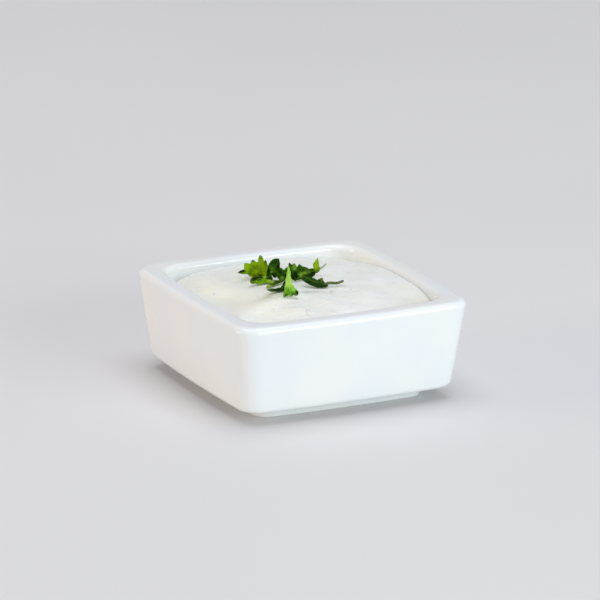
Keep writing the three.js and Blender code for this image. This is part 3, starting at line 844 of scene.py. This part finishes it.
def stalk(points, radius, taper):
    """A ribbed stalk through the points that thins to the share taper, closed at both ends."""
    knots = [np.array(p, float) for p in points]
    knots = [2 * knots[0] - knots[1], *knots, 2 * knots[-1] - knots[-2]]
    path = []
    for a, b, c, d in zip(knots, knots[1:], knots[2:], knots[3:]):
        for t in np.linspace(0, 1, STALK_STEPS, endpoint=False):
            bend = 2 * b + (c - a) * t + (2 * a - 5 * b + 4 * c - d) * t**2
            path.append(0.5 * (bend + (3 * b - a - 3 * c + d) * t**3))
    path.append(knots[-2])
    rings = []
    for i, here in enumerate(path):
        ahead = path[min(i + 1, len(path) - 1)] - path[max(i - 1, 0)]
        ahead = Vector(ahead).normalized()
        side = ahead.cross(Vector((0, 0, 1))).normalized()
        rise = side.cross(ahead)
        share = i / (len(path) - 1)
        close = min(1, STALK_END + END_SLOPE * min(share, 1 - share))
        size = radius * (1 - (1 - taper) * share) * close
        ring = []
        for k in range(STALK_SIDES):
            turn = 2 * math.pi * k / STALK_SIDES
            rib = size * (1 + RIB_HEIGHT * math.cos(STALK_RIBS * turn))
            ring.append(Vector(here) + rib * (math.cos(turn) * side + math.sin(turn) * rise))
        rings.append(ring)
    made = [tuple(p) for ring in rings for p in ring] + [tuple(path[0]), tuple(path[-1])]
    return {"points": made, "faces": tube_faces(STALK_SIDES, len(rings))}


# Near-black green of painted deep shadow.
SHADE = (6, 26, 4)  # past tone -1 every leaf goes to this


def leaf_material(name, deep, face, light):
    """A fresh leaf: its face goes to painted shade (deep, then darker) or painted highlight
    (light) with the tone set on its points, which also carries some of the leaf's own colour
    variation, with fine patches, paler veins and side veins from its own map, and a paler, matt
    back."""
    material, nodes, shader = new_material(name)
    calc = nodes.math
    part = nodes.split(nodes.add("ShaderNodeUVMap", uv_map="veins").outputs[0])
    along = calc("MULTIPLY", part["X"], VEIN_SCALE)
    beside = calc("MULTIPLY", part["Y"], VEIN_SCALE)
    midrib = nodes.between(beside, 0.03, 0.14, 1.0, 0.0)
    slanted = calc("SUBTRACT", along, calc("MULTIPLY", beside, SIDE_VEIN_SLANT))
    row = calc("DIVIDE", slanted, SIDE_VEIN_GAP)
    phase = calc("ABSOLUTE", calc("SUBTRACT", calc("FRACT", row), 0.5))
    veins = calc("MAXIMUM", midrib, nodes.between(phase, 0.03, 0.12, 0.5, 0.0))
    underside = nodes.attribute("underside")
    tone = calc("ADD", nodes.attribute("tone"), nodes.clouds(520, 4, 0.3, 0.7, -0.35, 0.25))
    shade = calc("MULTIPLY", calc("SUBTRACT", -1.0, tone), 0.9, clamp=True)
    # The tone paints shade towards deep and then SHADE, and highlight towards light; the clouds in
    # it add random colour variation.
    tints = [
        (calc("MULTIPLY", tone, -1.0, clamp=True), deep),
        (calc("MULTIPLY", tone, 1.0, clamp=True), light),
        (shade, SHADE),
        (calc("MULTIPLY", veins, 0.3), light),
        (calc("MULTIPLY", underside, 0.5), light),
    ]
    green = srgb(*face)
    for share, tint in tints:
        green = nodes.mix(share, green, srgb(*tint))
    gloss = nodes.clouds(900, 2, 0.3, 0.7, 0.5, 0.65)
    cells = nodes.bump(nodes.noise(2400, 3), 0.03 * MM, 0.6)
    look = {
        "Base Color": green,
        "Roughness": nodes.mix(underside, gloss, 0.7, "FLOAT"),
        "Normal": nodes.bump(veins, -0.04 * MM, 0.7, under=cells),
        "Specular IOR Level": 0.04,
    }
    nodes.fill(shader, look)
    return material


def tuft_mesh(name, parts):
    """One mesh of several closed parts. A part is a dict of points in mm in the tuft's
    frame, faces, and where it has them veins, underside and tone for each point."""
    turn = Matrix.Rotation(math.radians(TUFT_TURN), 4, "Z")
    points, faces, slots = [], [], []
    layers = {"veins": [], "underside": [], "tone": []}
    for index, part in enumerate(parts):
        count = len(part["points"])
        faces += [tuple(len(points) + i for i in face) for face in part["faces"]]
        points += [tuple((turn @ Vector(p)) * MM) for p in part["points"]]
        slots += [index] * len(part["faces"])
        for layer, values in layers.items():
            values.append(part.get(layer, np.zeros((count, 2) if layer == "veins" else count)))
    mesh = bpy.data.meshes.new(name)
    mesh.from_pydata(points, [], faces)
    mesh.polygons.foreach_set("material_index", slots)
    for layer in ("underside", "tone"):
        surface_values(mesh, layer, np.concatenate(layers[layer]))
    corner_points = np.zeros(len(mesh.loops), dtype=np.int32)
    mesh.loops.foreach_get("vertex_index", corner_points)
    veins = np.concatenate(layers["veins"])[corner_points] / VEIN_SCALE
    mesh.uv_layers.new(name="veins").data.foreach_set("uv", veins.ravel())
    return mesh


# Finishes: deep, face and light colour, and a slot name.
# The finishes are partly each leaf's own green and partly painted light: the dark ones paint shade
# on leaves that lie in shadow and the pale ones light on leaves that face it; deep and light are
# the painted shade and highlight that the spots reach.
FINISHES = {
    "lime": ((10, 34, 0), (122, 157, 4), (152, 188, 16), "leaf_bright"),
    "grass": ((12, 40, 0), (104, 148, 6), (160, 194, 60), "leaf_bright"),
    "bottle": ((4, 22, 0), (30, 74, 1), (104, 138, 40), "leaf_dark"),
    "moss": ((8, 30, 0), (56, 92, 4), (128, 170, 60), "leaf_dark"),
    "olive": ((8, 30, 0), (56, 92, 4), (172, 194, 92), "leaf_dark"),
    "pine": ((6, 30, 8), (26, 68, 8), (136, 152, 66), "leaf_dark"),
    "pale": ((88, 148, 0), (156, 204, 76), (186, 224, 124), "leaf_pale"),
}

# In mm: at and stalk are (along the tuft, towards its back, up), corners (across, along)
# the leaf, and spots (across, along, radius, tone), where tone -1 is the deep colour and 1
# the light one.
# The spots paint shade and highlights on each leaf, with some of its own colour variation.
LEAVES = {
    "parsley_broad": {
        "at": (-13.4, 2.7, 34.45), "finish": "lime", "pitch": 52, "curl_across": 0.06,
        "corners": [
            (3, 2.45), (2.4, 3.85), (1.8, 3.4), (1.35, 5.05), (0.5, 5.45), (0.1, 3.25),
            (-0.45, 3.15), (-1.65, 3.85), (-2.3, 2.55), (-4.15, 2.6), (-4.15, 0.6),
            (-6.3, -0.8), (-3.2, -0.95), (-1.8, -1.85), (0.8, -1.9), (2.6, -2.35),
            (3.2, -0.05),
        ],
        "spots": [
            (-5.6, -0.3, 1, -1.3), (-4.4, -0.3, 0.6, -0.9), (0.4, -1.7, 0.8, -1.1),
            (-1.1, -1.4, 0.8, -0.6), (1.4, -1.7, 0.8, -0.7), (-2.7, -0.6, 0.8, -0.4),
            (-0.8, 0.6, 1.2, -0.3), (0.8, 4.7, 0.9, -0.55), (0.7, 3.1, 0.7, 0.3),
            (2.4, 3.4, 0.5, -1), (-1.6, 3.6, 0.55, -1.1), (-3.6, 1, 0.7, 0.35),
            (1.8, 1.3, 0.9, 0.3), (1.5, 2.3, 0.6, 0.2), (2.1, -0.9, 0.3, 0.7),
        ],
    },
    "parsley_under": {
        "at": (-12.8, -2.8, 33.88), "finish": "grass", "heading": 270, "pitch": -35,
        "curl_along": 0.08, "wave": 0.15,
        "corners": [
            (2.9, 1.5), (2.3, 2.4), (1.1, 1.9), (0.2, 2.5), (-0.9, 2.05), (-2.05, 2.15),
            (-3.2, 1.5), (-4.05, 0.95), (-4, -0.45), (-2.75, -0.9), (-0.9, -0.9), (1.45, -0.9),
            (2.6, 0.05),
        ],
        "spots": [
            (2.7, 0.8, 0.8, -0.6), (1.7, 0, 0.9, -1), (0.4, 0, 0.9, -1),
            (-0.6, -0.4, 0.6, -0.6), (0.9, 1.3, 0.3, 0.9), (-1.6, -0.7, 0.45, 0.9),
            (-2.5, -0.3, 0.6, -0.9), (-3.5, 0.1, 1, -1.4), (0.4, 1.9, 0.6, 0.15),
            (-3.2, 1, 0.6, 1.7),
        ],
    },
    "parsley_folded": {
        "at": (-8.45, 0.2, 35.6), "finish": "bottle", "pitch": 78, "fold": 0.35, "wave": 0.12,
        "corners": [
            (1.9, 0.85), (1.5, 3.85), (-0.45, 3.4), (-1.55, 2), (-1.9, 0.6), (-2.1, -0.8),
            (-2.3, -2.95), (-1.25, -2.85), (-0.4, -1.35), (-0.1, -2.1), (0.7, -2.2),
            (1.6, -0.6),
        ],
        "spots": [
            (-1.6, 0.2, 0.7, -1), (-1.9, -1.7, 0.9, -1), (-0.7, -0.4, 0.35, 1.2),
            (-0.8, -1.5, 0.3, 1), (-0.6, 0.7, 0.35, 0.7), (-0.1, 1.4, 0.8, 0.35),
            (0.2, -0.1, 0.5, 0.25), (0.8, 2.7, 0.6, -0.5), (1.2, 1.4, 0.5, -0.8),
            (0.4, -1.5, 0.6, -0.9), (-0.6, 2.3, 0.5, -0.6), (1.7, 0.2, 0.35, 1),
        ],
    },
    "parsley_strip": {
        "at": (-5.2, -1.65, 35.16), "finish": "bottle", "pitch": 64, "wave": 0.15,
        "corners": [
            (1.15, 2.3), (-0.1, 1.2), (-1.25, 1.95), (-2.1, 0.9), (-2.5, -0.25), (-1.4, -2),
            (-0.2, -2.3), (0.75, -1.55), (1.15, -0.05),
        ],
        "spots": [
            (-0.2, -1.5, 0.6, -0.1), (-0.4, 1.5, 0.5, 0.6), (-1.2, 0.4, 0.9, -0.8),
            (0.2, -0.4, 0.6, -0.9), (-0.6, -1.1, 0.6, 0.9), (0.8, 1.8, 0.4, 0.3),
        ],
    },
    "parsley_curled": {
        "at": (-6, -14.65, 34.04), "finish": "bottle", "pitch": 8, "wave": 0.1,
        "corners": [
            (1.75, 6.65), (1.15, 6.3), (0.4, 3.5), (-0.15, 1.4), (-1.9, 0.5), (-4.1, -0.15),
            (-4.4, -0.65), (-3.45, -1.6), (-1.6, -1.7), (0.7, -1.1), (1.6, -0.8),
        ],
        "spots": [
            (1.1, 4.7, 1.1, -1), (1.2, 6.2, 0.7, -0.6), (-1.9, -0.7, 1, -0.9),
            (-0.4, -0.8, 0.9, -0.8), (0.8, 1.8, 1, -0.8), (-3.8, -0.9, 0.8, 0.7),
        ],
    },
    "parsley_sliver": {
        "at": (-7.7, -6.4, 33.35), "finish": "olive", "pitch": 8, "wave": 0.1,
        "corners": [
            (2.4, 1.9), (2.2, 2.65), (0.6, 2.75), (-1.05, 2.25), (-2.1, 0), (-2.9, -2),
            (-2.8, -3.1), (-1.8, -2.45), (-0.25, -0.8), (1.25, 0.6),
        ],
        "spots": [
            (-1.1, 1.1, 0.8, 0.8), (-2.4, -1.7, 1.1, 1.2), (0.6, 1.1, 1, -1.3),
            (1.8, 2.1, 0.7, -0.6), (-0.4, -0.2, 0.5, -0.5), (2.5, 2.5, 0.5, -0.8),
        ],
    },
    "parsley_front": {
        "at": (-3.8, -18.1, 36.2), "finish": "pale", "pitch": 46, "curl_across": -0.1,
        "curl_along": -0.045, "wave": 0.1,
        "corners": [
            (1, 1), (0.55, 3.5), (0.3, 5.9), (-0.1, 7.7), (-0.4, 5.9), (-0.6, 3.5), (-0.9, 1),
            (-1.2, -1.4), (-1.5, -3.8), (-0.7, -3.5), (0.1, -3), (0.95, -3.5), (1.5, -2.8),
            (2, -3.2), (2.75, -3.05), (3.1, -2), (2.7, -1.3), (1.8, -0.6),
        ],
        "spots": [
            (0, 6.6, 0.6, -0.2), (0.3, 2, 1.4, 0.3), (-0.1, -2.3, 1.6, -1.3),
            (-0.9, -3.3, 0.7, -0.9), (1.4, -2.9, 0.7, -0.9), (2.7, -2.2, 0.9, -2.4),
            (2.7, -2.8, 0.5, -1.6), (1.2, -3.1, 0.5, -0.7), (1.5, -1.4, 0.5, 0.6),
            (0.8, -1.2, 0.5, 0.25),
        ],
    },
    "parsley_behind": {
        "at": (-2.6, -2, 35.67), "finish": "bottle", "pitch": 66, "wave": 0.12,
        "corners": [
            (1.35, -0.15), (1.2, 1.9), (0.45, 3), (-0.25, 2.4), (-1.2, 3.1), (-1.25, 0.6),
            (-1.2, -1.55), (0.05, -2.15), (1.1, -2.55),
        ],
        "spots": [
            (0.2, -0.7, 1, -1), (0.1, -2, 0.7, -1), (-0.2, 1.8, 0.5, 0.4), (0.7, 2.4, 0.6, 2),
            (0.6, 1.1, 0.5, 1.1), (-1, 2.7, 0.6, -0.7), (1.2, -1, 0.5, -1),
        ],
    },
    "parsley_crinkled": {
        "at": (0.45, -0.85, 35.19), "finish": "moss", "pitch": 54, "curl_across": -0.08,
        "wave": 0.3,
        "corners": [
            (3.95, 1), (3.3, 1.75), (1.95, 1.45), (0.55, 2.2), (-0.15, 2.25), (-1, 2.95),
            (-1.6, 2.1), (-2.3, 1.45), (-2.4, -0.5), (-1.85, -2.25), (-0.6, -1.95),
            (0.45, -2.25), (1.5, -1.75), (2.75, -1.25), (3.9, -0.2),
        ],
        "spots": [
            (-0.5, -0.6, 0.8, 1), (0.7, -0.1, 0.5, 0.7), (1.6, 0.4, 0.5, 0.3),
            (-1.4, 0.7, 0.5, -0.9), (-0.2, 1.1, 0.6, -0.9), (-0.7, 2.2, 0.6, -0.4),
            (-1.4, 0.9, 0.4, 0.7), (1, -1.2, 0.8, -1), (-1.6, -1.1, 0.6, -1),
            (3.2, 0.4, 1.1, -1.3), (2.3, -0.7, 0.7, -0.9), (0.4, 2.2, 0.5, 0.3),
            (1.3, 1.6, 0.5, -0.4), (-0.8, -1.9, 0.5, -0.6), (-2, 1, 0.5, 0.9),
        ],
    },
    "parsley_upright": {
        "at": (4.5, 4.75, 35.86), "finish": "lime", "pitch": 74, "fold": 0.3, "wave": 0.08,
        "stalk": [
            (4.4, 4.35, 34.56), (4, 4.15, 33.86), (2.9, 4.35, 33.46),
        ],
        "corners": [
            (0.9, 0.55), (0.5, 2.65), (-0.25, 1.45), (-0.9, 0.65), (-0.65, -0.55), (0.2, -2.2),
            (1.2, -1.4),
        ],
        "spots": [
            (0, 0.1, 0.9, 0.9), (0.4, 1.9, 0.6, 0.8), (-0.6, -0.2, 0.4, -0.6),
            (0.7, 0.7, 0.3, -0.5), (0.2, -1.7, 0.6, -0.5),
        ],
    },
    "parsley_long": {
        "at": (4.2, -8.7, 34.63), "finish": "pine", "pitch": 40, "curl_across": -0.05,
        "wave": 0.15,
        "stalk": [
            (7.1, -8.9, 34.3), (8.9, -7.6, 34.2), (10.9, -7.5, 34.15), (12.25, -5.9, 34.1),
            (13, -4.8, 34.05),
        ],
        "corners": [
            (4.2, -0.85), (3.1, 0.1), (2.6, 0.9), (2.25, 1.85), (0.8, 0.75), (-0.6, 1.7),
            (-2.15, 2.1), (-3.7, 2.5), (-3.55, 0.65), (-2.1, -0.4), (-0.55, -1.35),
            (1.1, -1.9), (3.3, -1.65),
        ],
        "spots": [
            (-3.6, 1.6, 0.7, -0.3), (-2.1, 0.1, 0.9, -1), (-0.6, -0.6, 0.9, -0.6),
            (1, -1.3, 1, -0.8), (2.2, -0.9, 0.8, -0.2), (3.6, -0.8, 0.6, -1),
            (2.1, 1.4, 0.5, 0.6), (2, 0.2, 0.4, 0.3), (-0.3, 1.1, 0.4, 0.4),
            (0.8, 0.5, 0.4, 0.3),
        ],
    },
}
THREAD_PATH = [(5.6, 4.15, 35.16), (6.6, 4.45, 35.71), (7.8, 5.05, 36.66)]

leaf_finishes = {}
for name, tones in FINISHES.items():
    leaf_finishes[name] = leaf_material("leaf_" + name, *tones[:3])
stalk_finish = mottled("leaf_stalk", ((104, 114, 62), (64, 80, 30)), 900, 0.45, 0.1)

for seed, (name, leaf) in enumerate(LEAVES.items()):
    part = blade(leaf, seed * SEED_STEP)
    turn = attitude(leaf.get("heading", 90), leaf["pitch"])
    part["points"] = [turn @ Vector(p) + Vector(leaf["at"]) for p in part["points"]]
    parts = [part]
    materials = [leaf_finishes[leaf["finish"]]]
    if "stalk" in leaf:
        parts.append(stalk(leaf["stalk"], STEM_RADIUS, STEM_TAPER))
        materials.append(stalk_finish)
    made = placed(name + "_leaf", tuft_mesh(name, parts))
    for material in materials:
        made.data.materials.append(material)
    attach(made, BODY)
    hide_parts(name)

thread_stalk = stalk(THREAD_PATH, THREAD_RADIUS, THREAD_TAPER)
thread_mesh = tuft_mesh("parsley_thread", [thread_stalk])
thread_finish = mottled("pale_stalk", ((146, 158, 138), (112, 130, 98)), 900, 0.45, 0.2)
thread = placed("parsley_thread_stalk", thread_mesh, thread_finish)
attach(thread, BODY)
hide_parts("parsley_thread")


# ----------------------------------------
# The studio: a plain pale table top, a low and cool window light on the right, a warm one on
# the left, soft light from above and from all round, and a long lens above the rim.
FLOOR_HALF = 4.0
CAMERA_TURN, CAMERA_RISE, CAMERA_ROLL = 26.82, 16.656, 0.727
CAMERA_REACH = 1.5394
CAMERA_AIM = (-0.23 * MM, 0.12 * MM, 26.35 * MM)
CAMERA_LENS, CAMERA_SENSOR = 300, 36
CAMERA_CLIP = (0.05, 50)
# Place, size, energy and colour of each light.
LIGHTS = {
    "window_light": ((0.5, -1.4, 0.28), 0.9, 13.9, (0.865, 0.98, 1.0)),
    "warm_light": ((-1.5, 0.3, 0.25), 0.7, 7.8, (1.0, 0.8, 0.6)),
    "overhead_light": ((0.0, 0.0, 1.7), 1.4, 12.3, (0.84, 0.89, 1.0)),
}
ROOM_LIGHT = 0.45
TABLE_TONES = (230, 228, 228), (228, 226, 227)


def floor_piece():
    mesh = bpy.data.meshes.new("table_top")
    corners = [(-1, -1), (1, -1), (1, 1), (-1, 1)]
    places = [(x * FLOOR_HALF, y * FLOOR_HALF, 0) for x, y in corners]
    mesh.from_pydata(places, [], [(0, 1, 2, 3)])
    material, nodes, shader = new_material("pale_table")
    tone = nodes.mix(nodes.clouds(6, 2, 0.3, 0.7), *[srgb(*tone) for tone in TABLE_TONES])
    nodes.fill(shader, {"Base Color": tone, "Roughness": 0.75})
    return placed("table_top", mesh, material)


def soft_light(name, place, size, energy, color):
    lamp = bpy.data.lights.new(name, "AREA")
    lamp.shape = "SQUARE"
    lamp.size, lamp.energy, lamp.color = size, energy, color
    made = linked(name, lamp)
    made.location = place
    made.rotation_euler = (-Vector(place)).to_track_quat("-Z", "Y").to_euler()


def studio_camera():
    turn, rise = math.radians(CAMERA_TURN), math.radians(CAMERA_RISE)
    level = math.cos(rise)
    back = Vector((-math.sin(turn) * level, -math.cos(turn) * level, math.sin(rise)))
    lens = bpy.data.cameras.new("camera")
    lens.lens, lens.sensor_width = CAMERA_LENS, CAMERA_SENSOR
    lens.clip_start, lens.clip_end = CAMERA_CLIP
    made = linked("camera", lens)
    made.location = Vector(CAMERA_AIM) + back * CAMERA_REACH
    roll = Quaternion((0, 0, 1), math.radians(CAMERA_ROLL))
    made.rotation_euler = ((-back).to_track_quat("-Z", "Y") @ roll).to_euler()
    bpy.context.scene.camera = made


floor_piece()
for name, light in LIGHTS.items():
    soft_light(name, *light)
studio_camera()

world = bpy.data.worlds.new("room")
bpy.context.scene.world = world
world.use_nodes = True
room = world.node_tree.nodes["Background"].inputs
room["Color"].default_value = (1.0, 1.0, 1.0, 1.0)
room["Strength"].default_value = ROOM_LIGHT
bpy.context.scene.view_settings.view_transform = "Standard"
